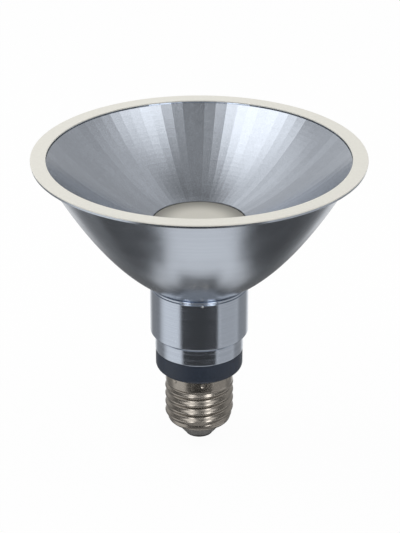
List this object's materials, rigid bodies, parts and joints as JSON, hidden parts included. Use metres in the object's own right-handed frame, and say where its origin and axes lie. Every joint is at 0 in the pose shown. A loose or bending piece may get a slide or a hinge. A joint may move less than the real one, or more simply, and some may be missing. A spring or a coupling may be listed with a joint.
{
  "type": "par spotlight bulb",
  "caption": "Reflector spotlight lamp: faceted open dish with a frosted disc, polished outer bowl, turned collar and a screw cap.",
  "frame": {"origin": "flat tip of the centre contact, on the lamp's axis", "axes": "+Z along the lamp's axis from the cap to the light opening; X and Y across, the thread starts at the +X side"},
  "size_m": [0.123, 0.123, 0.117],
  "materials": {
    "bezel_ring": "satin",
    "reflector": "satin, faceted",
    "diffuser": "frosted",
    "outer_bowl": "polished",
    "collar": "turned, polished",
    "driver_housing": "satin",
    "cap_shell": "nickel plated",
    "cap_insulator": "gloss",
    "centre_contact": "dull, tinned",
    "white_plastic": "matte",
    "led_chip": "silicone over ceramic",
    "led_board": "white solder mask",
    "thermal_pad": "matte",
    "heat_slug": "turned",
    "screws": "zinc plated",
    "driver_board": "solder mask",
    "transformer": "ferrite and tape",
    "bulk_capacitor": "sleeved",
    "output_capacitor": "sleeved",
    "film_capacitor": "gloss",
    "choke": "ferrite",
    "bridge_rectifier": "matte",
    "driver_chip": "matte",
    "fuse_resistor": "lacquer",
    "lead_live": "insulation",
    "lead_neutral": "insulation",
    "lead_white": "insulation"
  },
  "bodies": {
    "root": {"bezel_ring": "bezel_ring", "reflector": "reflector", "diffuser": "diffuser", "outer_bowl": "outer_bowl", "collar": "collar", "driver_housing": "driver_housing", "cap_shell": "cap_shell", "cap_insulator": "cap_insulator", "centre_contact": "centre_contact", "mixing_cup": "white_plastic", "led_holder": "white_plastic", "led_chip": "led_chip", "led_board": "led_board", "thermal_pad": "thermal_pad", "heat_slug": "heat_slug", "slug_screws": "screws", "board_screws": "screws", "housing_screws": "screws", "driver_board": "driver_board", "transformer": "transformer", "bulk_capacitor": "bulk_capacitor", "output_capacitor": "output_capacitor", "film_capacitor": "film_capacitor", "choke": "choke", "bridge_rectifier": "bridge_rectifier", "driver_chip": "driver_chip", "fuse_resistor": "fuse_resistor", "live_lead": "lead_live", "neutral_lead": "lead_neutral", "led_lead_positive": "lead_white", "led_lead_negative": "lead_white"}
  },
  "joints": []
}
